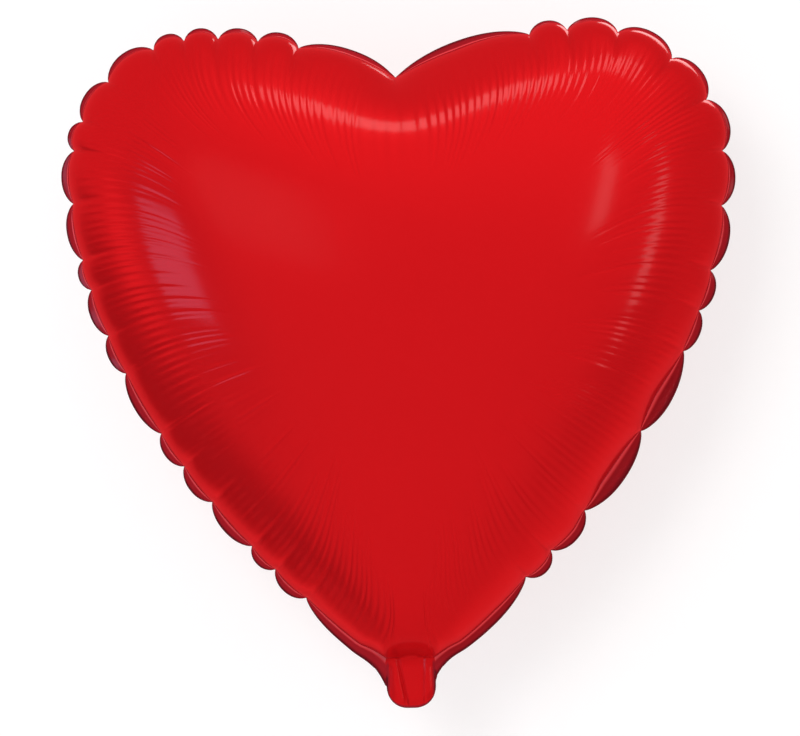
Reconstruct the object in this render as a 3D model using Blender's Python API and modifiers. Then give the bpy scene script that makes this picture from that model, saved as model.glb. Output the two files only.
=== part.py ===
"""Heart-shaped foil balloon, inflated, upright, with its flat filling tail hanging below.

Two film panels are domed out from a flat heart-shaped seam.  Outside the seam they lie flat against
each other as a scalloped margin, with the melted seal layer between them.  Below the tip of the heart the
film carries on as a short tail.  A flat self-closing valve of two thin plies runs from the tail, through
the throat, up into the heart.

Frame: metres, +Z up, the front faces -Y.  The origin is the middle of the throat, where a ribbon is tied,
and the tail folds about the X axis through it.
"""

import math

import bmesh
import bpy
import numpy as np
from mathutils import Vector
from mathutils.geometry import interpolate_bezier

# Heart outline, at the middle of the scalloped film edge.
HEART_WIDTH = 0.377
SIDE_HEIGHT = 0.2815
LOBE_TOP_HEIGHT = 0.3625
LOBE_TOP_SPACING = 0.219
NOTCH_DEPTH = 0.0246
NECK_WIDTH = 0.030
BALLOON_DEPTH = 0.160

# Bezier handles of the outline, as shares of the spans they reach across.
NOTCH_HANDLE = (0.30, 0.48)
LOBE_INNER_HANDLE = 0.445
QUARTER_ROUND = 0.552
FLANK_UPPER_HANDLE = 0.297
FLANK_LOWER_HANDLE = (0.674, 0.312)

# Film, valve and the gap kept between pieces that touch.
FILM_WALL = 0.0004
VALVE_WALL = 0.0003
COAT_WALL = 0.0002
GAP = 0.0003

# Seam: the domes start on the seam line, and the film edge waves in and out beyond it.
SEAM_INSET = 0.004
EDGE_DIP = 0.003
EDGE_RISE = 0.004

# Lengths of the puffs between two creases, in millimetres from the throat up to the notch.  Each side's
# lengths are stretched together to fill that side of the outline.
RIGHT_PUFFS = (71, 21, 30, 56, 42, 10, 25, 24, 38, 32, 32, 32, 36, 30, 22, 80)
LEFT_PUFFS = (59, 24, 19, 34, 26, 23, 40, 24, 28, 18, 33, 31, 18, 28, 33, 19, 20, 23, 24, 57)
PUFF_STEPS = (0.0, 0.15, 0.5, 0.85)
PUFF_SQUARENESS = 2.5

# Tail and the fold between it and the heart.
TAIL_WIDTH = 0.028
TAIL_LENGTH = 0.0243
TAIL_CORNER_RADIUS = 0.012
THROAT_RISE = 0.0005
FOLD_GAP = 0.003

# Valve: inlet in the tail, throat plies across the fold, lips inside the heart.
VALVE_WIDTH = 0.022
VALVE_LENGTH = 0.095
INLET_SETBACK = 0.0045
COAT_WIDTH = 0.018
COAT_LENGTH = 0.010

# Fineness of the meshes.
BEZIER_POINTS = 80
DOME_RINGS = 6
CORNER_SEGMENTS = 8

# Places that follow from the sizes: half thicknesses from the mid plane outwards.
VALVE_INNER = COAT_WALL / 2 + GAP
VALVE_OUTER = VALVE_INNER + VALVE_WALL
FILM_INNER = VALVE_OUTER + GAP
FILM_OUTER = FILM_INNER + FILM_WALL
SEAL_HALF = FILM_INNER - GAP
NECK_TOP = THROAT_RISE + SEAM_INSET
THROAT_PLY_END = -(FOLD_GAP - GAP - VALVE_WALL)
DOME_HEIGHT = BALLOON_DEPTH / 2 - FILM_OUTER

FRONT = -1
BACK = 1

RED_FILM = ("red_film", (0.60, 0.008, 0.012), 0.22, 0.9)
CLEAR_FILM = ("clear_film", (0.80, 0.80, 0.80), 0.30, 0.0)
SEAL_LAYER = ("seal_layer", (0.35, 0.006, 0.010), 0.40, 0.6)
COAT_PRINT = ("coat_print", (0.55, 0.55, 0.58), 0.60, 0.0)


def clear_scene():
    """Remove every object and collection that is already in the file."""
    for old in list(bpy.data.objects):
        bpy.data.objects.remove(old, do_unlink=True)
    for old in list(bpy.data.collections):
        bpy.data.collections.remove(old)


def make_material(finish):
    """A Principled material from a (name, colour, roughness, metallic) tuple, made once."""
    name, colour, roughness, metallic = finish
    if name in bpy.data.materials:
        return bpy.data.materials[name]
    material = bpy.data.materials.new(name)
    material.use_nodes = True
    shader = material.node_tree.nodes["Principled BSDF"]
    shader.inputs["Base Color"].default_value = (*colour, 1.0)
    shader.inputs["Roughness"].default_value = roughness
    shader.inputs["Metallic"].default_value = metallic
    return material


def add_part(collection, name, bm, finish, pivot=(0.0, 0.0, 0.0)):
    """Turn a bmesh in world coordinates into an object whose origin is at pivot."""
    bmesh.ops.translate(bm, verts=bm.verts, vec=-Vector(pivot))
    mesh = bpy.data.meshes.new(name)
    bm.to_mesh(mesh)
    bm.free()
    mesh.materials.append(make_material(finish))
    part = bpy.data.objects.new(name, mesh)
    part.location = pivot
    collection.objects.link(part)
    return part


def right_half_outline():
    """Right half of the heart, in the XZ plane, from the middle of the throat to the notch."""
    neck = Vector((NECK_WIDTH / 2, THROAT_RISE))
    side = Vector((HEART_WIDTH / 2, SIDE_HEIGHT))
    lobe = Vector((LOBE_TOP_SPACING / 2, LOBE_TOP_HEIGHT))
    notch = Vector((0.0, LOBE_TOP_HEIGHT - NOTCH_DEPTH))
    flank_low = Vector((
        neck.x + FLANK_LOWER_HANDLE[0] * (side.x - neck.x),
        FLANK_LOWER_HANDLE[1] * side.y,
    ))
    flank_high = Vector((side.x, side.y * (1 - FLANK_UPPER_HANDLE)))
    side_high = Vector((side.x, side.y + QUARTER_ROUND * (lobe.y - side.y)))
    lobe_outer = Vector((lobe.x + QUARTER_ROUND * (side.x - lobe.x), lobe.y))
    lobe_inner = Vector((lobe.x * (1 - LOBE_INNER_HANDLE), lobe.y))
    notch_out = Vector((lobe.x * NOTCH_HANDLE[0], notch.y + NOTCH_HANDLE[1] * NOTCH_DEPTH))
    points = [Vector((0.0, THROAT_RISE))]
    points += interpolate_bezier(neck, flank_low, flank_high, side, BEZIER_POINTS)
    points += interpolate_bezier(side, side_high, lobe_outer, lobe, BEZIER_POINTS)[1:]
    points += interpolate_bezier(lobe, lobe_inner, notch_out, notch, BEZIER_POINTS)[1:]
    return np.array([(point.x, point.y) for point in points])


def lengths_along(points):
    """Distance of each point from the first, along the line through them."""
    steps = np.hypot(*np.diff(points, axis=0).T)
    return np.concatenate([[0.0], np.cumsum(steps)])


def puff_stations(puffs, start, end):
    """Places along the outline for one side's puffs, with how far through its puff each one is."""
    scale = (end - start) / sum(puffs)
    stations = []
    reached = 0.0
    for length in puffs:
        for step in PUFF_STEPS:
            stations.append((start + scale * (reached + step * length), step))
        reached += length
    return stations


class SeamOutline:
    """The heart's outline as rings of matching points: the seam line and the scalloped film edge."""

    def __init__(self):
        right = right_half_outline()
        left = right[::-1] * (-1, 1)
        self.curve = np.concatenate([right, left[1:]])
        self.along = lengths_along(self.curve)
        self.perimeter = self.along[-1]
        notch = self.perimeter / 2
        neck = NECK_WIDTH / 2
        stations = [(0.0, None), (neck / 2, None)]
        stations += puff_stations(RIGHT_PUFFS, neck, notch)
        stations += puff_stations(LEFT_PUFFS[::-1], notch, self.perimeter - neck)
        stations += [(self.perimeter - neck, None), (self.perimeter - neck / 2, None)]
        stations[2] = (stations[2][0], None)
        self.stations = stations
        self.seam = np.array([self.offset_point(place, -SEAM_INSET) for place, step in stations])
        self.edge = np.array([self.offset_point(place, self.edge_offset(step)) for place, step in stations])

    def point(self, place):
        """The outline's point at a distance along it from the middle of the throat."""
        place = place % self.perimeter
        return np.array([np.interp(place, self.along, self.curve[:, axis]) for axis in (0, 1)])

    def offset_point(self, place, distance):
        """A point moved square to the outline, outwards where distance is positive."""
        reach = self.perimeter / 1000
        tangent = self.point(place + reach) - self.point(place - reach)
        outward = np.array([tangent[1], -tangent[0]]) / np.hypot(*tangent)
        return self.point(place) + distance * outward

    @staticmethod
    def edge_offset(step):
        """How far the film edge stands off the outline; the throat's own edge stays straight."""
        if step is None:
            return 0.0
        bulge = math.sqrt(1 - abs(2 * step - 1) ** PUFF_SQUARENESS)
        return -EDGE_DIP + (EDGE_RISE + EDGE_DIP) * bulge


def fullness(points, outline):
    """How far each point is from the outline, averaged over all directions as a harmonic mean."""
    arms = outline[None, :, :] - points[:, None, :]
    nexts = np.roll(arms, -1, axis=1)
    reach = np.hypot(arms[..., 0], arms[..., 1])
    next_reach = np.roll(reach, -1, axis=1)
    cross = arms[..., 0] * nexts[..., 1] - arms[..., 1] * nexts[..., 0]
    dot = (arms * nexts).sum(axis=2)
    half_tangent = np.tan(np.arctan2(cross, dot) / 2)
    return 1 / (half_tangent * (1 / reach + 1 / next_reach)).sum(axis=1)


def make_panel(collection, name, side, heart):
    """One film panel: a hemisphere reshaped to the heart, with the margin extruded round its rim."""
    count = len(heart.stations)
    centre = np.array([0.0, SIDE_HEIGHT * 0.7])
    bm = bmesh.new()
    bmesh.ops.create_uvsphere(bm, u_segments=count, v_segments=2 * DOME_RINGS, radius=1.0)
    lower = [vert for vert in bm.verts if vert.co.z < -0.01]
    bmesh.ops.delete(bm, geom=lower, context="VERTS")
    rim = [edge for edge in bm.edges if edge.is_boundary]
    stretched = bmesh.ops.extrude_edge_only(bm, edges=rim)["geom"]
    margin = {vert for vert in stretched if isinstance(vert, bmesh.types.BMVert)}
    domed = [vert for vert in bm.verts if vert.co.z > 0.01]
    places = {}
    for vert in bm.verts:
        turn = (math.atan2(vert.co.y, vert.co.x) / math.tau + 0.25) * count
        ring = round(turn) % count
        spread = math.hypot(vert.co.x, vert.co.y)
        target = heart.edge[ring] if vert in margin else centre + spread * (heart.seam[ring] - centre)
        places[vert] = target
    lift = fullness(np.array([places[vert] for vert in domed]), heart.seam)
    lift = DOME_HEIGHT * np.sqrt(lift / lift.max())
    heights = dict(zip(domed, lift))
    for vert, place in places.items():
        vert.co = (place[0], side * (FILM_INNER + heights.get(vert, 0.0)), place[1])
    if side == BACK:
        bmesh.ops.reverse_faces(bm, faces=bm.faces)
    panel = add_part(collection, name, bm, RED_FILM)
    wall = panel.modifiers.new("film_wall", "SOLIDIFY")
    wall.thickness = FILM_WALL
    wall.offset = 1.0
    wall.use_even_offset = True
    panel.data.shade_smooth()
    panel.data.set_sharp_from_angle(angle=math.radians(50))
    return panel


def make_perimeter_seal(collection, heart):
    """The seal layer between the two margins: a flat horseshoe, open where the valve passes."""
    opening = VALVE_WIDTH / 2 + GAP
    mouth = [(opening, None)]
    inner_stations = [item for item in heart.stations if opening < item[0] < heart.perimeter - opening]
    stations = mouth + inner_stations + [(heart.perimeter - opening, None)]
    bm = bmesh.new()
    bmesh.ops.create_grid(bm, x_segments=len(stations) - 1, y_segments=1, size=1.0)
    for vert in bm.verts:
        place, step = stations[round((vert.co.x + 1) / 2 * (len(stations) - 1))]
        distance = -SEAM_INSET if vert.co.y < 0 else heart.edge_offset(step)
        x, z = heart.offset_point(place, distance)
        vert.co = (x, 0.0, z)
    seal = add_part(collection, "perimeter_seal", bm, SEAL_LAYER)
    wall = seal.modifiers.new("seal_thickness", "SOLIDIFY")
    wall.thickness = 2 * SEAL_HALF
    wall.offset = 0.0
    return seal


def make_slab(collection, name, finish, width, inner, outer, bottom, top, side, centre_x=0.0, pivot_z=0.0):
    """A flat rectangular ply lying between two distances from the mid plane, on one side of it."""
    bm = bmesh.new()
    bmesh.ops.create_cube(bm, size=1.0)
    bmesh.ops.scale(bm, verts=bm.verts, vec=(width, outer - inner, top - bottom))
    middle = (centre_x, side * (inner + outer) / 2, (bottom + top) / 2)
    bmesh.ops.translate(bm, verts=bm.verts, vec=middle)
    return add_part(collection, name, bm, finish, pivot=(0.0, 0.0, pivot_z))


def make_tail_ply(collection, name, side):
    """One ply of the tail: a flat tab with its two lower corners rounded."""
    bm = bmesh.new()
    bmesh.ops.create_cube(bm, size=1.0)
    length = TAIL_LENGTH - FOLD_GAP
    bmesh.ops.scale(bm, verts=bm.verts, vec=(TAIL_WIDTH, FILM_WALL, length))
    lower = [edge for edge in bm.edges if all(vert.co.z < 0 for vert in edge.verts)]
    corners = [edge for edge in lower if abs(edge.verts[0].co.y - edge.verts[1].co.y) > FILM_WALL / 2]
    bmesh.ops.bevel(
        bm,
        geom=corners,
        offset=min(TAIL_CORNER_RADIUS, 0.45 * TAIL_WIDTH, 0.9 * length),
        segments=CORNER_SEGMENTS,
        profile=0.5,
        affect="EDGES",
    )
    middle = (0.0, side * (FILM_INNER + FILM_OUTER) / 2, -(FOLD_GAP + TAIL_LENGTH) / 2)
    bmesh.ops.translate(bm, verts=bm.verts, vec=middle)
    return add_part(collection, name, bm, RED_FILM)


def make_tail(collection):
    """Everything that folds with the tail: its plies, their side seals and the valve's inlet."""
    make_tail_ply(collection, "tail_front_ply", FRONT)
    make_tail_ply(collection, "tail_back_ply", BACK)
    seal_width = (TAIL_WIDTH - VALVE_WIDTH) / 2 - GAP
    seal_bottom = -(TAIL_LENGTH - TAIL_CORNER_RADIUS)
    for name, direction in (("tail_seal_left", -1), ("tail_seal_right", 1)):
        make_slab(
            collection, name, SEAL_LAYER, seal_width, -SEAL_HALF, SEAL_HALF,
            seal_bottom, -FOLD_GAP, BACK, centre_x=direction * (TAIL_WIDTH - seal_width) / 2,
        )
    for name, side in (("valve_inlet_front_ply", FRONT), ("valve_inlet_back_ply", BACK)):
        make_slab(
            collection, name, CLEAR_FILM, VALVE_WIDTH, VALVE_INNER, VALVE_OUTER,
            -(TAIL_LENGTH - INLET_SETBACK), -FOLD_GAP, side,
        )
    make_slab(
        collection, "inlet_release_coat", COAT_PRINT, COAT_WIDTH, -COAT_WALL / 2, COAT_WALL / 2,
        -(FOLD_GAP + COAT_LENGTH), -FOLD_GAP, BACK,
    )


def make_valve(collection):
    """The valve's fixed plies across the throat and its two lips, each hinged at the top of the neck."""
    for word, side in (("front", FRONT), ("back", BACK)):
        make_slab(
            collection, f"valve_throat_{word}_ply", CLEAR_FILM, VALVE_WIDTH, VALVE_INNER, VALVE_OUTER,
            THROAT_PLY_END, NECK_TOP - GAP, side,
        )
        make_slab(
            collection, f"valve_{word}_lip", CLEAR_FILM, VALVE_WIDTH, VALVE_INNER, VALVE_OUTER,
            NECK_TOP + GAP, NECK_TOP + VALVE_LENGTH, side, pivot_z=NECK_TOP,
        )


def main():
    """Build the whole balloon in one collection."""
    clear_scene()
    collection = bpy.data.collections.new("heart_foil_balloon")
    bpy.context.scene.collection.children.link(collection)
    heart = SeamOutline()
    make_panel(collection, "front_panel", FRONT, heart)
    make_panel(collection, "back_panel", BACK, heart)
    make_perimeter_seal(collection, heart)
    make_tail(collection)
    make_valve(collection)


main()
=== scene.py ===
"""Looks of the heart-shaped foil balloon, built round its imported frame."""

import math

import bpy
import numpy as np
from mathutils import Matrix, Vector
from mathutils.geometry import interpolate_bezier


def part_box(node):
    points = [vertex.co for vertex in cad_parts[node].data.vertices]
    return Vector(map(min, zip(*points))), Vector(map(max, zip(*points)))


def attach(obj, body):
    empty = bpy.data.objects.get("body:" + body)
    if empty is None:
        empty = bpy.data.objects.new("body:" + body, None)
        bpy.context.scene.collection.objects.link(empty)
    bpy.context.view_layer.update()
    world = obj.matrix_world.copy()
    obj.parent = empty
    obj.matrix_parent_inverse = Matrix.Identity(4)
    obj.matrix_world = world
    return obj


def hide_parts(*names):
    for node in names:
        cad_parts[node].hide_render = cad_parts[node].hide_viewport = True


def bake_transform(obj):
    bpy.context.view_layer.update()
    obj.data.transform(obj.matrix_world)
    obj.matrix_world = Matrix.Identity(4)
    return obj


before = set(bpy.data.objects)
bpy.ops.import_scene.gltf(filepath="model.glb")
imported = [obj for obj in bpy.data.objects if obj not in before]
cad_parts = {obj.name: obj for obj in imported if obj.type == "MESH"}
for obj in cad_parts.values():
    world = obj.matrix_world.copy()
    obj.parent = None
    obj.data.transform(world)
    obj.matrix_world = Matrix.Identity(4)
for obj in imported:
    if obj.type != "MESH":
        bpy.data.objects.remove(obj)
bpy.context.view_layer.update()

FRONT = -1
BACK = 1

# Heart outline, at the middle of the scalloped film edge, as the frame has it.
SEAL_LOW, SEAL_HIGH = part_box("perimeter_seal")
TAIL_LOW, TAIL_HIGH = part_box("tail_front_ply")
DOME_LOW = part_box("front_panel")[0]
EDGE_RISE = 0.004
EDGE_DIP = 0.003
SEAM_INSET = 0.004
HEART_WIDTH = SEAL_HIGH.x - SEAL_LOW.x - 2 * EDGE_RISE
LOBE_TOP_HEIGHT = SEAL_HIGH.z - EDGE_RISE
THROAT_RISE = SEAL_LOW.z
SIDE_HEIGHT = 0.2815
LOBE_TOP_SPACING = 0.219
NOTCH_DEPTH = 0.0246
NECK_WIDTH = 0.030
NOTCH_HANDLE = (0.30, 0.48)
LOBE_INNER_HANDLE = 0.445
QUARTER_ROUND = 0.552
FLANK_UPPER_HANDLE = 0.297
FLANK_LOWER_HANDLE = (0.674, 0.312)
BEZIER_POINTS = 120

# Lengths of the puffs between two creases of the rim, in millimetres from the throat up to the notch.
RIGHT_PUFFS = (71, 21, 30, 56, 52, 25, 24, 38, 32, 32, 32, 36, 30, 22, 80)
LEFT_PUFFS = (59, 24, 19, 34, 26, 23, 40, 24, 28, 18, 33, 31, 18, 28, 33, 19, 20, 23, 24, 57)
PUFF_SQUARENESS = 2.2
PUFF_ROUNDNESS = 0.8
PUFF_REACH = 0.009

# Gathers: the fine pleats that run in from the seam, four mesh columns to a pleat.
PLEAT_LENGTH = 0.0048
PLEAT_COLUMNS = 4
PLEAT_HEIGHT = 0.00036
PLEAT_REACH = (0.044, 0.088)
THROAT_COLUMNS = 44

# Welded margin outside the seam, by shares of the way round from the throat: its width in millimetres in the middle
# of a puff, and how deeply the edge is scalloped.
MARGIN_PLACES = (0.0, 0.05, 0.105, 0.13, 0.18, 0.21, 0.27, 0.31, 0.42, 0.47, 0.53, 0.62, 0.70, 0.80, 0.95, 1.0)
MARGIN_WIDTHS = (4.5, 5.5, 5.0, 9.0, 9.0, 5.5, 5.0, 3.0, 2.0, 4.5, 3.2, 2.8, 4.0, 5.0, 5.0, 4.5)
SCALLOP_DEPTHS = (1.0, 1.0, 1.0, 1.0, 0.85, 0.70, 1.0, 1.0, 1.0, 1.0, 1.0, 1.0, 0.85, 0.75, 0.85, 1.0)
MARGIN_AT_CREASE = 0.0006
RIM_WAVE = 0.0014
MARGIN_LEAN = 0.0016
MARGIN_FORWARD = 0.0030
# How far the margin's edge drops beside the throat, right and left, and how soon that fades along the edge.
THROAT_FLARE = (0.0064, 0.0112)
THROAT_FLARE_FADE = 0.010
SETTLE_LENGTH = 0.020

# Creases that run in from the rim, and the billow of the film between them.
CREASE_DEPTH = 0.0008
CREASE_WIDTH = 0.0012
CREASE_SPREAD = 0.12
CREASE_REACH = 0.020
BILLOW = 0.0003
SEAM_BEAD = 0.00022

# Dome mesh and film.
DOME_ROWS = 38
ROW_CROWDING = 1.7
POLE_ROWS = (0.982, 0.995, 1.0)
FLANGE_ROWS = 5
FILM_THICKNESS = 0.00010
FILM_CLEARANCE = 0.00016
DOME_HEIGHT = -DOME_LOW.y - 0.0014
# Depth over which the columns turn from square to the seam towards the dome's centre: its value near the throat, how
# much more it is far from the throat, and the two distances between which it grows.
SQUARE_REACH = (0.034, 0.034, 0.03, 0.17)
DOME_CENTRE = np.array([0.0, SIDE_HEIGHT * 0.7])

# Tail.
TAIL_HALF = TAIL_HIGH.x
TAIL_LENGTH = -TAIL_LOW.z
TAIL_CORNER = 0.012
TAIL_ROWS = 26
TAIL_PUFF = 0.0028
TAIL_PUFF_HALF = 0.0137
MOUTH_LENGTH = 0.0060
TAIL_WELD_INNER = 0.0130
TAIL_WELD_TOP = -0.0010
TAIL_WELD_LENGTH = 0.0135
# Folds down the tail: place across it at the throat and at its end, width, and depth.
TAIL_FOLDS = (
    (-0.0096, -0.0042, 0.0032, -0.0008),
    (-0.0080, -0.0022, 0.0016, 0.0022),
    (0.0076, 0.0064, 0.0012, 0.0009),
    (0.0090, 0.0078, -0.0030, -0.0009),
)
# The dome comes down to the throat over this length, fully out to the first place across it and not past the second.
NECK_LENGTH = 0.0070
NECK_SIDES = (0.002, 0.017)
THROAT_WELD = (0.0118, 0.0140)


# ---------------------------------------------------------------- outline of the heart

def right_half_outline():
    """Right half of the heart, in the XZ plane, from the middle of the throat to the notch."""
    neck = Vector((NECK_WIDTH / 2, THROAT_RISE))
    side = Vector((HEART_WIDTH / 2, SIDE_HEIGHT))
    lobe = Vector((LOBE_TOP_SPACING / 2, LOBE_TOP_HEIGHT))
    notch = Vector((0.0, LOBE_TOP_HEIGHT - NOTCH_DEPTH))
    flank_low = Vector((
        neck.x + FLANK_LOWER_HANDLE[0] * (side.x - neck.x),
        FLANK_LOWER_HANDLE[1] * side.y,
    ))
    flank_high = Vector((side.x, side.y * (1 - FLANK_UPPER_HANDLE)))
    side_high = Vector((side.x, side.y + QUARTER_ROUND * (lobe.y - side.y)))
    lobe_outer = Vector((lobe.x + QUARTER_ROUND * (side.x - lobe.x), lobe.y))
    lobe_inner = Vector((lobe.x * (1 - LOBE_INNER_HANDLE), lobe.y))
    notch_out = Vector((lobe.x * NOTCH_HANDLE[0], notch.y + NOTCH_HANDLE[1] * NOTCH_DEPTH))
    points = [Vector((0.0, THROAT_RISE))]
    points += interpolate_bezier(neck, flank_low, flank_high, side, BEZIER_POINTS)
    points += interpolate_bezier(side, side_high, lobe_outer, lobe, BEZIER_POINTS)[1:]
    points += interpolate_bezier(lobe, lobe_inner, notch_out, notch, BEZIER_POINTS)[1:]
    return np.array([(point.x, point.y) for point in points])


def smooth_step(value, low, high):
    """0 below low, 1 above high and a smooth rise between them."""
    share = np.clip((value - low) / (high - low), 0, 1)
    return share * share * (3 - 2 * share)


class Rim:
    """The columns of the film mesh round the heart, one array entry for each column."""

    def __init__(self):
        right = right_half_outline()
        self.curve = np.concatenate([right, right[-2::-1] * (-1, 1)])
        steps = np.hypot(*np.diff(self.curve, axis=0).T)
        self.along = np.concatenate([[0.0], np.cumsum(steps)])
        self.perimeter = self.along[-1]
        self.lay_out_columns(np.random.default_rng(7))
        self.shape_rim()

    def lay_out_columns(self, rng):
        """Puffs are split into pleats of uneven width, and each pleat into its columns."""
        notch, neck = self.perimeter / 2, NECK_WIDTH / 2
        columns = []
        for puffs, start, end in (
            (RIGHT_PUFFS, neck, notch),
            (LEFT_PUFFS[::-1], notch, self.perimeter - neck),
        ):
            scale = (end - start) / sum(puffs)
            reached = start
            creases = rng.uniform(0.45, 1.25, len(puffs) + 1)
            for number, puff in enumerate(puffs):
                columns += self.puff_columns(rng, reached, puff * scale, creases[number:number + 2])
                reached += puff * scale
        half = THROAT_COLUMNS // 2
        throat = [(neck * k / half, 0, 0, 0, 0, 0.5, 0, 0, 0) for k in range(half)]
        closing = [(self.perimeter - neck * (half - k) / half, 0, 0, 0, 0, 0.5, 0, 0, 0) for k in range(half)]
        table = np.array(throat + columns + closing).T
        self.place, self.pleat, self.height, self.reach, self.puff, self.through = table[:6]
        self.lean, self.wave, self.crease = table[6:]
        self.count = len(self.place)
        self.in_throat = self.puff == 0

    @staticmethod
    def puff_columns(rng, start, length, creases):
        """One puff's columns: place, place in its pleat, pleat height and reach, puff length, place in the puff,
        how far the puff's rim leans and waves, and how deep the creases beside it are."""
        pleats = max(2, round(length / PLEAT_LENGTH))
        widths = rng.uniform(0.72, 1.28, pleats)
        widths *= length / widths.sum()
        lean, wave = rng.uniform(0.3, 1.0), rng.choice((-1, 1)) * rng.uniform(0.4, 1.0)
        columns = []
        reached = 0.0
        for width in widths:
            height, reach = rng.uniform(0.55, 1.2), rng.uniform(*PLEAT_REACH)
            for k in range(PLEAT_COLUMNS):
                phase = k / PLEAT_COLUMNS
                through = (reached + phase * width) / length
                place = start + reached + phase * width
                crease = creases[0] * (1 - through) + creases[1] * through
                columns.append((place, phase, height, reach, length, through, lean, wave, crease))
            reached += width
        return columns

    def point(self, place):
        """Points of the outline at distances along it from the middle of the throat."""
        wrapped = np.mod(place, self.perimeter)
        return np.stack([np.interp(wrapped, self.along, self.curve[:, axis]) for axis in (0, 1)], axis=-1)

    def outward(self, place, reach):
        """Unit vectors square to the outline, pointing out, taken over a stretch of it."""
        tangent = self.point(place + reach) - self.point(place - reach)
        normal = np.stack([tangent[:, 1], -tangent[:, 0]], axis=-1)
        return normal / np.linalg.norm(normal, axis=1, keepdims=True)

    def shape_rim(self):
        """Seam line and film edge, waving in and out with the puffs."""
        away = np.abs(2 * self.through - 1)
        bulge = (1 - np.clip(away, 0, 1) ** PUFF_SQUARENESS) ** PUFF_ROUNDNESS
        size = np.clip(self.puff / 0.030, 0.35, 1.0)
        hump = np.sin(np.pi * self.through)
        from_throat = np.minimum(self.place, self.perimeter - self.place) - NECK_WIDTH / 2
        settle = smooth_step(from_throat, 0.0, SETTLE_LENGTH)
        bulge, hump = bulge * ~self.in_throat, hump * settle * ~self.in_throat
        width = np.interp(self.place / self.perimeter, MARGIN_PLACES, MARGIN_WIDTHS) / 1000
        scallop = np.interp(self.place / self.perimeter, MARGIN_PLACES, SCALLOP_DEPTHS)
        edge_offset = settle * scallop * (-EDGE_DIP * (1 - bulge) + EDGE_RISE * bulge * size ** 0.5)
        margin = MARGIN_AT_CREASE + (width * size ** 0.5 - MARGIN_AT_CREASE) * bulge
        seam_offset = -SEAM_INSET * (1 - settle) + settle * (edge_offset - margin)
        middle = self.point(self.place)
        normal = self.outward(self.place, 0.005)
        self.calm_seam = middle - SEAM_INSET * normal
        flare = np.where(self.place < self.perimeter / 2, *THROAT_FLARE)
        from_corner = np.where(self.in_throat, 1 - np.abs(middle[:, 0]) / (NECK_WIDTH / 2), 0)
        flared = flare * np.exp(-np.clip(from_throat, 0, None) / THROAT_FLARE_FADE) * (1 - from_corner) ** 4
        self.seam = middle + seam_offset[:, None] * normal
        self.edge = middle + edge_offset[:, None] * normal
        self.edge[:, 1] -= flared
        self.inward = -self.outward(self.place, 0.012)
        reach, growth, near, far = SQUARE_REACH
        self.square_reach = reach + growth * smooth_step(from_throat, near, far)
        self.from_crease = (1 - away) * self.puff / 2
        self.crease = self.crease * settle
        self.hump = hump * size
        self.seam_y = RIM_WAVE * self.wave * hump
        forward = MARGIN_FORWARD * smooth_step(width, 0.005, 0.008)
        self.edge_y = self.seam_y + (MARGIN_LEAN * self.lean - forward) * hump


rim = Rim()


# ---------------------------------------------------------------- film panels

def fullness(points, outline, chunk=2000):
    """How far each point is from the outline, averaged over all directions as a harmonic mean."""
    result = np.empty(len(points))
    for start in range(0, len(points), chunk):
        arms = outline[None, :, :] - points[start:start + chunk, None, :]
        nexts = np.roll(arms, -1, axis=1)
        reach = np.hypot(arms[..., 0], arms[..., 1])
        cross = arms[..., 0] * nexts[..., 1] - arms[..., 1] * nexts[..., 0]
        dot = (arms * nexts).sum(axis=2)
        half_tangent = np.tan(np.arctan2(cross, dot) / 2)
        total = (half_tangent * (1 / reach + 1 / np.roll(reach, -1, axis=1))).sum(axis=1)
        result[start:start + chunk] = 1 / total
    return result


def corner_rise(x):
    """How far the tail's rounded end lies above its lowest line, at places across the tail."""
    past = np.clip(np.abs(x) - (TAIL_HALF - TAIL_CORNER), 0, TAIL_CORNER * 0.999)
    return TAIL_CORNER - np.sqrt(TAIL_CORNER ** 2 - past ** 2)


def above_tail_end(x, z):
    """Height of points over the tail's rounded end."""
    return z + TAIL_LENGTH - corner_rise(x)


def neck_puff(x, z):
    """Half thickness that the neck and tail keep over the valve inside them, with the folds that run down the tail.
    The open end closes to a slit that still clears the valve's corners."""
    half = TAIL_PUFF_HALF + 0.9 * np.clip(z, 0, None)
    across = np.clip(1 - (np.abs(x) / half) ** 4, 0, None)
    least = 0.13 + 0.42 * smooth_step(np.abs(x), 0.004, 0.010)
    mouth = least + (1 - least) * smooth_step(above_tail_end(x, z), 0.0, MOUTH_LENGTH)
    rise = np.exp(-np.clip(z, 0, None) / 0.020)
    folds = 0.0
    for top, bottom, width, depth in TAIL_FOLDS:
        line = top + (bottom - top) * np.clip((0.006 - z) / 0.030, -1.2, 1)
        off = (x - line) / width
        folds = folds + depth * np.where(off < 0, np.exp(off * 0.6), np.exp(-(off * 2.2) ** 2))
    return (TAIL_PUFF * across - folds * across ** 0.5 * smooth_step(-z, -0.030, 0.004)) * mouth * rise


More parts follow.
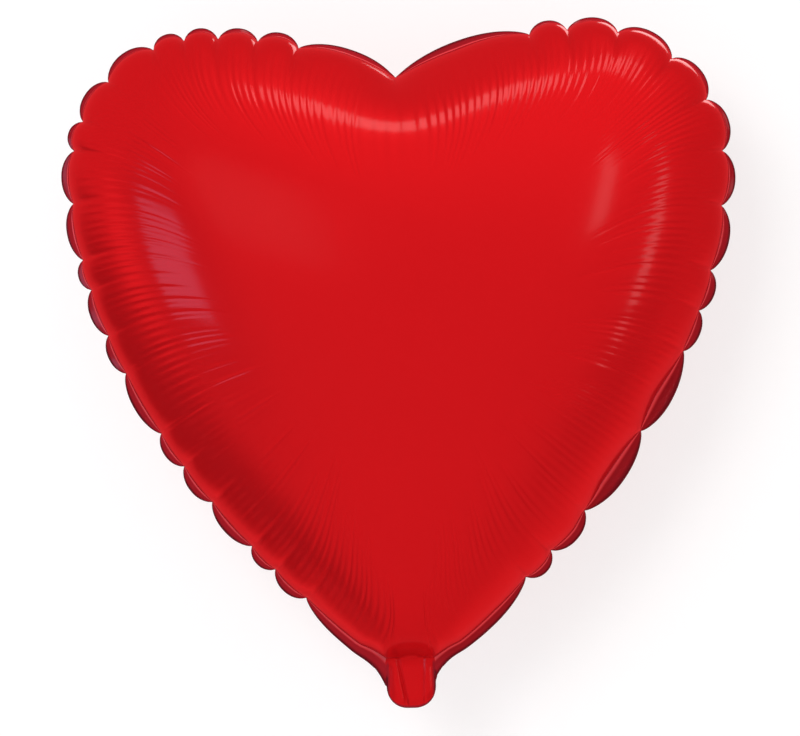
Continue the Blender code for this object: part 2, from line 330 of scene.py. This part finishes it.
def dome_grid():
    """One panel as arrays of rows by columns, from centre to edge: plan places, heights, sideways sway of the rim,
    weld amounts, and a mask that is 1 on the seam itself, where the film's painted highlight runs."""
    share = np.append((np.arange(DOME_ROWS) / DOME_ROWS) ** ROW_CROWDING, POLE_ROWS)
    share = share[::-1, None, None]
    to_centre = DOME_CENTRE - rim.calm_seam
    run = np.linalg.norm(to_centre, axis=1)
    depth = share[..., 0] * run
    straight = rim.calm_seam + share * to_centre
    square = rim.calm_seam + depth[..., None] * rim.inward
    lean = (np.exp(-(depth / rim.square_reach) ** 2) * (1 - smooth_step(share[..., 0], 0.5, 0.9)))[..., None]
    plan = lean * square + (1 - lean) * straight
    lift = np.zeros(depth.shape)
    full = fullness(plan[:-1].reshape(-1, 2), rim.calm_seam)
    plan += np.exp(-(depth / PUFF_REACH) ** 2)[..., None] * (rim.seam - rim.calm_seam)
    lift[:-1] = DOME_HEIGHT * np.sqrt(full / full.max()).reshape(len(lift) - 1, -1)
    lift += crease_and_pleat(depth)
    up_neck = np.clip(plan[..., 1] - SEAM_INSET, 0, None)
    in_neck = 1 - smooth_step(np.abs(plan[..., 0]), *NECK_SIDES)
    in_neck *= np.exp(-(up_neck / NECK_LENGTH) ** 2)
    lift *= 1 - in_neck
    lift += neck_puff(plan[..., 0], plan[..., 1])
    sway = rim.seam_y * np.exp(-depth / 0.010)
    flange = np.linspace(0, 1, FLANGE_ROWS + 1)[1:, None]
    flange_plan = rim.seam + flange[..., None] * (rim.edge - rim.seam)
    flange_lift = neck_puff(flange_plan[..., 0], flange_plan[..., 1])
    flange_sway = rim.seam_y + flange * (rim.edge_y - rim.seam_y)
    weld = np.concatenate([np.zeros(depth.shape), np.broadcast_to(flange, flange_lift.shape)])
    weld[:, rim.in_throat] *= smooth_step(np.abs(rim.edge[rim.in_throat, 0]), *THROAT_WELD)
    # Painted highlight mask: 1 on the seam row and half on the next, where the film's colour is lightened into a light
    # line.
    painted_seam_highlight = np.zeros(weld.shape)
    painted_seam_highlight[len(depth) - 1:len(depth) + 1] = [[1.0], [0.5]]
    return (
        np.concatenate([plan, flange_plan]),
        np.concatenate([lift, flange_lift]),
        np.concatenate([sway, flange_sway]),
        weld,
        painted_seam_highlight * ~rim.in_throat,
    )


def crease_and_pleat(depth):
    """What the billows between creases, the creases, the fine pleats and the seam's bead add to the film's height."""
    near_rim = np.exp(-(depth / CREASE_REACH) ** 2) * smooth_step(depth, 0.0, 0.004)
    fold = np.exp(-rim.from_crease / (CREASE_WIDTH + CREASE_SPREAD * depth))
    rise = 0.20 + 0.80 * smooth_step(depth, 0.002, 0.014)
    fade = 1 - smooth_step(depth, 0.45 * rim.reach + 1e-6, rim.reach + 1e-5)
    valley = 0.5 + 0.5 * np.cos(math.tau * rim.pleat)
    open_seam = smooth_step(depth, 0.0, 0.0006) * (rim.puff > 0)
    return (
        near_rim * (BILLOW * rim.hump - CREASE_DEPTH * rim.crease * fold)
        - PLEAT_HEIGHT * rim.height * valley * rise * fade * open_seam
        + SEAM_BEAD * np.exp(-(depth / 0.0008) ** 2) * ~rim.in_throat
    )


def add_grid(name, columns, rows):
    """A grid primitive and each vertex's column and row number in it."""
    bpy.ops.object.select_all(action="DESELECT")
    bpy.ops.mesh.primitive_grid_add(x_subdivisions=columns, y_subdivisions=rows, size=2)
    piece = bpy.context.object
    piece.name = piece.data.name = name
    flat = np.empty(len(piece.data.vertices) * 3)
    piece.data.vertices.foreach_get("co", flat)
    flat = flat.reshape(-1, 3)
    column = np.rint((flat[:, 0] + 1) / 2 * columns).astype(int)
    row = np.rint((flat[:, 1] + 1) / 2 * rows).astype(int)
    return piece, column, row


def set_shape(piece, points):
    """Move every vertex of a piece to its point."""
    piece.data.vertices.foreach_set("co", np.ascontiguousarray(points, dtype=np.float32).ravel())
    piece.data.update()


def set_attribute(piece, name, values):
    """Store one number on each vertex, for the film's material."""
    attribute = piece.data.attributes.new(name, "FLOAT", "POINT")
    attribute.data.foreach_set("value", np.ascontiguousarray(values, dtype=np.float32))


def tail_points(columns, rows, side):
    """One ply of the tail, from the throat's edge down to its rounded end."""
    half = THROAT_COLUMNS // 2
    order = np.concatenate([np.arange(rim.count - half, rim.count), np.arange(half + 1)])
    start = rim.edge[order][columns]
    down = rows / TAIL_ROWS
    settled = smooth_step(down, 0.0, 0.60)
    x = start[:, 0] * (1 - settled + settled * TAIL_HALF / np.abs(start[:, 0]).max())
    z = start[:, 1] - down * (TAIL_LENGTH - corner_rise(x) + start[:, 1])
    y = side * (FILM_CLEARANCE + neck_puff(x, z))
    return np.stack([x, y, z], axis=1)


def make_film(name, side):
    """One panel of film: its dome, its flat margin and its ply of the tail, in one sheet."""
    plan, lift, sway, weld, painted_seam_highlight = dome_grid()
    rows = len(plan) - 1
    dome, column, row = add_grid(name, rim.count, rows)
    column = column % rim.count
    place, up = plan[row, column], lift[row, column]
    y = side * (FILM_CLEARANCE + up) + sway[row, column]
    set_shape(dome, np.stack([place[:, 0], y, place[:, 1]], axis=1))
    set_attribute(dome, "weld", weld[row, column])
    set_attribute(dome, "painted_seam_highlight", painted_seam_highlight[row, column])
    tail, column, row = add_grid(name + "_tail", THROAT_COLUMNS, TAIL_ROWS)
    points = tail_points(column, row, side)
    set_shape(tail, points)
    at_side = smooth_step(np.abs(points[:, 0]), TAIL_HALF - 0.0024, TAIL_HALF - 0.0004)
    at_end = 1 - smooth_step(above_tail_end(points[:, 0], points[:, 2]), 0.0002, 0.0016)
    set_attribute(tail, "weld", np.maximum(at_side, at_end))
    set_attribute(tail, "painted_seam_highlight", np.zeros(len(column)))
    bpy.ops.object.select_all(action="DESELECT")
    tail.select_set(True)
    dome.select_set(True)
    bpy.context.view_layer.objects.active = dome
    bpy.ops.object.join()
    close_sheet(dome, side)
    return dome


def close_sheet(piece, side):
    """Weld the sheet's doubled columns and pole, turn it to face out and give it the film's thickness."""
    bpy.ops.object.mode_set(mode="EDIT")
    bpy.ops.mesh.select_all(action="SELECT")
    bpy.ops.mesh.remove_doubles(threshold=0.00001)
    bpy.ops.mesh.normals_make_consistent(inside=False)
    bpy.ops.object.mode_set(mode="OBJECT")
    turned = np.zeros(len(piece.data.polygons) * 3)
    piece.data.polygons.foreach_get("normal", turned)
    if np.sign(turned[1::3].sum()) != side:
        piece.data.flip_normals()
    wall = piece.modifiers.new("film_wall", "SOLIDIFY")
    wall.thickness = FILM_THICKNESS
    wall.offset = 1.0
    bpy.ops.object.modifier_apply(modifier=wall.name)
    piece.data.shade_smooth()


def make_ribbon(name, inner, outer, rows, thickness):
    """A thin closed ribbon between two rows of points, as the melted seal layer makes."""
    piece, column, row = add_grid(name, len(inner) - 1, rows)
    share = row[:, None] / rows
    set_shape(piece, inner[column] + share * (outer - inner)[column])
    wall = piece.modifiers.new("weld_wall", "SOLIDIFY")
    wall.thickness = thickness
    wall.offset = 0.0
    bpy.ops.object.modifier_apply(modifier=wall.name)
    piece.data.shade_smooth()
    return piece


def make_seam_weld():
    """The melted seal layer between the two margins, which shows as the film's thin dark edge. It stops at the
    throat, where the tail folds."""
    inside = ~rim.in_throat
    seam = np.stack([rim.seam[:, 0], rim.seam_y, rim.seam[:, 1]], axis=1)[inside]
    edge = np.stack([rim.edge[:, 0], rim.edge_y, rim.edge[:, 1]], axis=1)[inside]
    edge += 0.05 * (edge - seam)
    edge[:, 2] = np.maximum(edge[:, 2], TAIL_WELD_TOP)
    return make_ribbon("seam_weld", seam, edge, 3, 2 * FILM_CLEARANCE)


def make_tail_weld(name, side):
    """The seal down one flank of the tail."""
    drop = np.linspace(0, 1, 25)
    z = TAIL_WELD_TOP - drop * TAIL_WELD_LENGTH
    ripple = 0.00012 * np.sin(drop * 31)
    inner = np.stack([side * (TAIL_WELD_INNER + ripple), 0 * z, z], axis=1)
    outer = np.stack([side * (TAIL_HALF - 0.0001 + 0 * z), 0 * z, z], axis=1)
    return make_ribbon(name, inner, outer, 2, 2 * FILM_CLEARANCE)


# ---------------------------------------------------------------- materials

class Value:
    """A shader socket that takes part in Python expressions as a number."""

    def __init__(self, tree, socket):
        self.tree, self.socket = tree, socket

    def maths(self, operation, *values):
        """A Math node on these values."""
        node = self.tree.nodes.new("ShaderNodeMath")
        node.operation = operation
        for slot, value in zip(node.inputs, values):
            if isinstance(value, Value):
                self.tree.links.new(value.socket, slot)
            else:
                slot.default_value = value
        return Value(self.tree, node.outputs[0])

    def __add__(self, other):
        return self.maths("ADD", self, other)

    def __mul__(self, other):
        return self.maths("MULTIPLY", self, other)

    def __rsub__(self, other):
        return self.maths("SUBTRACT", other, self)

    __radd__ = __add__
    __rmul__ = __mul__


class Finish:
    """A material with a Principled shader, and one method that adds any node to it."""

    def __init__(self, name, **constants):
        self.material = bpy.data.materials.new(name)
        self.material.use_nodes = True
        self.tree = self.material.node_tree
        self.shader = self.tree.nodes["Principled BSDF"]
        for socket, value in constants.items():
            self.shader.inputs[socket.replace("_", " ")].default_value = value

    def node(self, kind, settings=None, output=0, **sockets):
        """Add a node: its settings first, then values or links for its sockets."""
        node = self.tree.nodes.new("ShaderNode" + kind)
        for name, value in (settings or {}).items():
            setattr(node, name, value)
        for name, value in sockets.items():
            slot = node.inputs[name.replace("_", " ")]
            if isinstance(value, Value):
                self.tree.links.new(value.socket, slot)
            else:
                slot.default_value = value
        return Value(self.tree, node.outputs[output])

    def feed(self, socket, value):
        """Link a value to one of the shader's sockets."""
        self.tree.links.new(value.socket, self.shader.inputs[socket])

    def attribute(self, name):
        """One of the piece's own per-vertex numbers."""
        return self.node("Attribute", {"attribute_name": name}, output="Fac")

    def colours(self, factor, low, high):
        """A mix of two colours."""
        node = self.tree.nodes.new("ShaderNodeMix")
        node.data_type = "RGBA"
        self.tree.links.new(factor.socket, node.inputs["Factor"])
        for slot, value in zip((node.inputs[6], node.inputs[7]), (low, high)):
            if isinstance(value, Value):
                self.tree.links.new(value.socket, slot)
            else:
                slot.default_value = (*value, 1.0)
        return Value(self.tree, node.outputs[2])


def red_film_finish():
    """Red metallised film: satin under a clear glossy skin, duller and coloured darker on the welded margin, with a
    painted pinkish highlight along the seam line.
    """
    finish = Finish("red_film_look", Metallic=0.5, Coat_Weight=1.0, Coat_Roughness=0.13, Specular_IOR_Level=0.0)
    finish.shader.inputs["Specular Tint"].default_value = (0.90, 0.05, 0.06, 1.0)
    place = finish.node("TexCoord", output="Object")
    weld = finish.attribute("weld")
    welded = finish.node("MapRange", {"interpolation_type": "SMOOTHSTEP"}, Value=weld, From_Min=0.05, From_Max=0.35)
    # Painted highlight: the seam mask lightens the colour to pink, standing in for the light that the seam's fold
    # catches.
    painted_seam_highlight = finish.node(
        "MapRange", {"interpolation_type": "SMOOTHSTEP"}, Value=finish.attribute("painted_seam_highlight"),
        From_Min=0.25, From_Max=0.80,
    )
    blotch = finish.node("TexNoise", Vector=place, Scale=9.0, Detail=3.0, Roughness=0.5)
    grain = finish.node("TexNoise", Vector=place, Scale=1400.0, Detail=2.0, Roughness=0.6)
    crinkle = finish.node("TexNoise", Vector=place, Scale=160.0, Detail=3.0, Roughness=0.55, Distortion=0.4)
    # The welded margin is coloured darker than the open film, and darker still towards its outer edge.
    outermost = finish.node("MapRange", {"interpolation_type": "SMOOTHSTEP"}, Value=weld, From_Min=0.62, From_Max=0.95)
    open_film = finish.colours(blotch, (0.58, 0.0080, 0.0120), (0.62, 0.0092, 0.0135))
    margin = finish.colours(outermost, (0.34, 0.016, 0.028), (0.12, 0.008, 0.016))
    film = finish.colours(welded, open_film, margin)
    # Painted highlight along the seam line, mixed in at 0.7 over the film's colour.
    finish.feed("Base Color", finish.colours(painted_seam_highlight * 0.7, film, (0.85, 0.17, 0.20)))
    finish.feed("Roughness", 0.29 + 0.05 * blotch + 0.03 * grain + 0.10 * welded)
    height = 0.7 * crinkle + 0.3 * grain
    finish.feed("Normal", finish.node("Bump", Height=height, Strength=0.05, Distance=0.0008))
    return finish.material


def seal_finish():
    """The melted seal layer: dark red and dull, with a grainy melt."""
    finish = Finish("seal_layer_look", Metallic=0.5)
    place = finish.node("TexCoord", output="Object")
    melt = finish.node("TexNoise", Vector=place, Scale=600.0, Detail=3.0, Roughness=0.6)
    finish.feed("Base Color", finish.colours(melt, (0.10, 0.004, 0.010), (0.22, 0.010, 0.020)))
    finish.feed("Roughness", 0.38 + 0.2 * melt)
    finish.feed("Normal", finish.node("Bump", Height=melt, Strength=0.2, Distance=0.0002))
    return finish.material


def clear_film_finish():
    """Thin clear valve film, hazed by fine rolling lines."""
    finish = Finish("clear_film_look")
    place = finish.node("TexCoord", output="Object")
    lines = finish.node("TexWave", {"bands_direction": "X"}, Vector=place, Scale=500.0, Distortion=1.5, Detail=2.0)
    haze = finish.node("TexNoise", Vector=place, Scale=300.0, Detail=3.0)
    finish.feed("Base Color", finish.colours(haze, (0.72, 0.74, 0.76), (0.85, 0.86, 0.87)))
    finish.feed("Roughness", 0.22 + 0.15 * haze)
    finish.feed("Normal", finish.node("Bump", Height=lines, Strength=0.08, Distance=0.0001))
    return finish.material


def coat_finish():
    """Grey heat-resistant print, chalky and slightly uneven."""
    finish = Finish("coat_print_look")
    place = finish.node("TexCoord", output="Object")
    dots = finish.node("TexVoronoi", Vector=place, Scale=1600.0)
    patch = finish.node("TexNoise", Vector=place, Scale=400.0, Detail=4.0)
    finish.feed("Base Color", finish.colours(patch, (0.46, 0.46, 0.49), (0.60, 0.60, 0.63)))
    finish.feed("Roughness", 0.55 + 0.2 * patch)
    finish.feed("Normal", finish.node("Bump", Height=dots, Strength=0.15, Distance=0.0001))
    return finish.material


def give(piece, material):
    """Put one material on a piece in place of any it has."""
    piece.data.materials.clear()
    piece.data.materials.append(material)


# ---------------------------------------------------------------- the balloon

red_film = red_film_finish()
seal_layer = seal_finish()
clear_film = clear_film_finish()
coat_print = coat_finish()

for word, side in (("front", FRONT), ("back", BACK)):
    film = make_film(word + "_film", side)
    give(film, red_film)
    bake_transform(film)
    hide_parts(word + "_panel", f"tail_{word}_ply")

weld = make_seam_weld()
give(weld, seal_layer)
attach(weld, "envelope")
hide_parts("perimeter_seal")

for word, side in (("left", -1), ("right", 1)):
    weld = make_tail_weld("tail_weld_" + word, side)
    give(weld, seal_layer)
    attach(weld, "tail")
    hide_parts("tail_seal_" + word)

for name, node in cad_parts.items():
    if name.startswith("valve"):
        give(node, clear_film)
    elif name == "inlet_release_coat":
        give(node, coat_print)
    else:
        give(node, seal_layer)


# ---------------------------------------------------------------- studio

FLOOR_HEIGHT = -0.16
CARD_DISTANCE = 0.105
CAMERA_DISTANCE = 1.9
VIEW_WIDTH = 0.4558
CAMERA_LEAN = 1.5
HEART_MIDDLE = (0, 0, 0.19)
ROOM_LEVEL = 0.66
MIRRORED_COLOUR = (1.0, 0.06, 0.07)
MIRRORED_LEVEL = 0.78
# Patches of the mirrored room: direction from the balloon, degrees out to full and to no strength, and strength.
MIRRORED_PATCHES = (
    ((0.0, -1.0, 0.0), 30, 70, 0.08),
    ((0.38, -0.52, 0.75), 8, 48, 0.56),
    ((0.60, 0.50, -0.62), 6, 30, 0.35),
    ((-0.52, 0.52, -0.68), 4, 20, 0.40),
    ((-0.95, -0.27, -0.15), 6, 15, 0.85),
    ((-0.74, -0.66, -0.06), 12, 26, -0.55),
    ((-0.91, 0.32, -0.25), 8, 22, -0.40),
    ((-0.80, 0.05, -0.60), 12, 38, -0.75),
    ((-0.60, 0.12, -0.79), 3, 13, 0.45),
    ((-0.94, 0.05, -0.33), 3, 12, 0.30),
    ((0.86, -0.34, -0.39), 6, 22, -0.30),
)


def add_plane(name, size, place, turn=(0.0, 0.0, 0.0)):
    """A flat stage piece of that size, its place and turn in its mesh."""
    bpy.ops.object.select_all(action="DESELECT")
    bpy.ops.mesh.primitive_plane_add(size=1, location=place, rotation=turn)
    plane = bpy.context.object
    plane.name = name
    plane.scale = (*size, 1)
    bpy.ops.object.transform_apply(location=True, rotation=True, scale=True)
    return plane


def make_stage():
    """A pale floor, and a pale card close behind the balloon that only shows from the front."""
    paper = Finish("studio_paper", Roughness=0.9)
    paper.shader.inputs["Base Color"].default_value = (0.86, 0.86, 0.86, 1.0)
    floor = add_plane("studio_floor", (9, 9), (0, 0, FLOOR_HEIGHT))
    give(floor, paper.material)
    card = Finish("backing_card", Roughness=0.9, Specular_IOR_Level=0.0, Emission_Strength=0.64)
    card.shader.inputs["Base Color"].default_value = (0.38, 0.38, 0.38, 1.0)
    card.shader.inputs["Emission Color"].default_value = (1.0, 1.0, 1.0, 1.0)
    behind = card.node("NewGeometry", output="Backfacing")
    clear = card.node("BsdfTransparent")
    skin = Value(card.tree, card.shader.outputs[0])
    mix = card.tree.nodes.new("ShaderNodeMixShader")
    for slot, value in zip(mix.inputs, (behind, skin, clear)):
        card.tree.links.new(value.socket, slot)
    card.tree.links.new(mix.outputs[0], card.tree.nodes["Material Output"].inputs["Surface"])
    backing = add_plane("studio_backing", (8, 3), (0, CARD_DISTANCE, FLOOR_HEIGHT + 1.5), (math.pi / 2, 0, 0))
    backing.visible_glossy = floor.visible_glossy = False
    backing.visible_shadow = False
    give(backing, card.material)


def add_softbox(name, place, target, size, radiance, colour=(1.0, 1.0, 1.0), mirrored=True):
    """A rectangular area light at place, facing target, that may be left out of reflections."""
    light = bpy.data.lights.new(name, "AREA")
    light.shape = "RECTANGLE"
    light.size, light.size_y = size
    light.energy = radiance * math.pi * size[0] * size[1]
    light.color = colour
    box = bpy.data.objects.new(name, light)
    box.location = place
    box.rotation_euler = (Vector(target) - Vector(place)).to_track_quat("-Z", "Y").to_euler()
    box.visible_glossy = mirrored
    box.visible_camera = False
    bpy.context.scene.collection.objects.link(box)


def make_camera():
    """A long lens square on to the front, level with the middle of the heart and turned by its slight lean."""
    data = bpy.data.cameras.new("camera")
    data.sensor_width = 36
    data.lens = data.sensor_width * CAMERA_DISTANCE / VIEW_WIDTH
    camera = bpy.data.objects.new("camera", data)
    camera.location = (-0.0017, -CAMERA_DISTANCE, 0.1694)
    turn = Matrix.Rotation(math.pi / 2, 4, "X") @ Matrix.Rotation(-math.radians(CAMERA_LEAN), 4, "Z")
    camera.rotation_euler = turn.to_euler()
    bpy.context.scene.collection.objects.link(camera)
    bpy.context.scene.camera = camera


def make_room():
    """Even white light all round, and the room of brighter and darker patches that the film mirrors."""
    room = Finish.__new__(Finish)
    world = bpy.data.worlds.new("studio_room")
    world.use_nodes = True
    room.tree = world.node_tree
    background = room.tree.nodes["Background"]
    way = room.node("TexCoord", output="Generated")
    light = room.node("Value")
    light.socket.default_value = MIRRORED_LEVEL
    for direction, near, far, strength in MIRRORED_PATCHES:
        along = room.tree.nodes.new("ShaderNodeVectorMath")
        along.operation = "DOT_PRODUCT"
        room.tree.links.new(way.socket, along.inputs[0])
        along.inputs[1].default_value = Vector(direction).normalized()
        light = light + room.node(
            "MapRange", {"interpolation_type": "SMOOTHSTEP"}, Value=Value(room.tree, along.outputs["Value"]),
            From_Min=math.cos(math.radians(far)), From_Max=math.cos(math.radians(near)),
            To_Min=0.0, To_Max=strength,
        )
    mirrored = room.node("LightPath", output="Is Glossy Ray")
    level = light.maths("MAXIMUM", light, 0.02) * mirrored + ROOM_LEVEL * (1 - mirrored)
    room.tree.links.new(level.socket, background.inputs["Strength"])
    colour = room.colours(mirrored, (1.0, 1.0, 1.0), MIRRORED_COLOUR)
    room.tree.links.new(colour.socket, background.inputs["Color"])
    bpy.context.scene.world = world


make_stage()
make_camera()
make_room()
add_softbox("key", (-0.8, -2.4, 0.95), HEART_MIDDLE, (0.9, 0.9), 10.5, mirrored=False)
add_softbox("overhead", (0.04, -0.24, 0.78), (0.05, -0.05, 0.32), (0.17, 0.09), 1.5)
add_softbox("overhead_right", (0.48, -0.22, 1.25), (0, -0.05, 0.28), (0.30, 0.20), 1.2)
add_softbox("left_window", (-1.02, -0.89, 0.17), (-0.14, -0.07, 0.22), (0.42, 0.46), 0.9, (0.62, 0.80, 1.25))
add_softbox("right_strip_far", (1.15, -0.68, 0.15), (0.14, -0.06, 0.22), (0.12, 0.55), 1.1)
add_softbox("behind", (0.55, 1.15, 0.95), HEART_MIDDLE, (0.55, 0.35), 1.3)
add_softbox("right_strip_near", (0.70, -1.05, 0.52), (0.13, -0.07, 0.24), (0.10, 0.42), 0.9)
bpy.context.scene.view_settings.view_transform = "Standard"
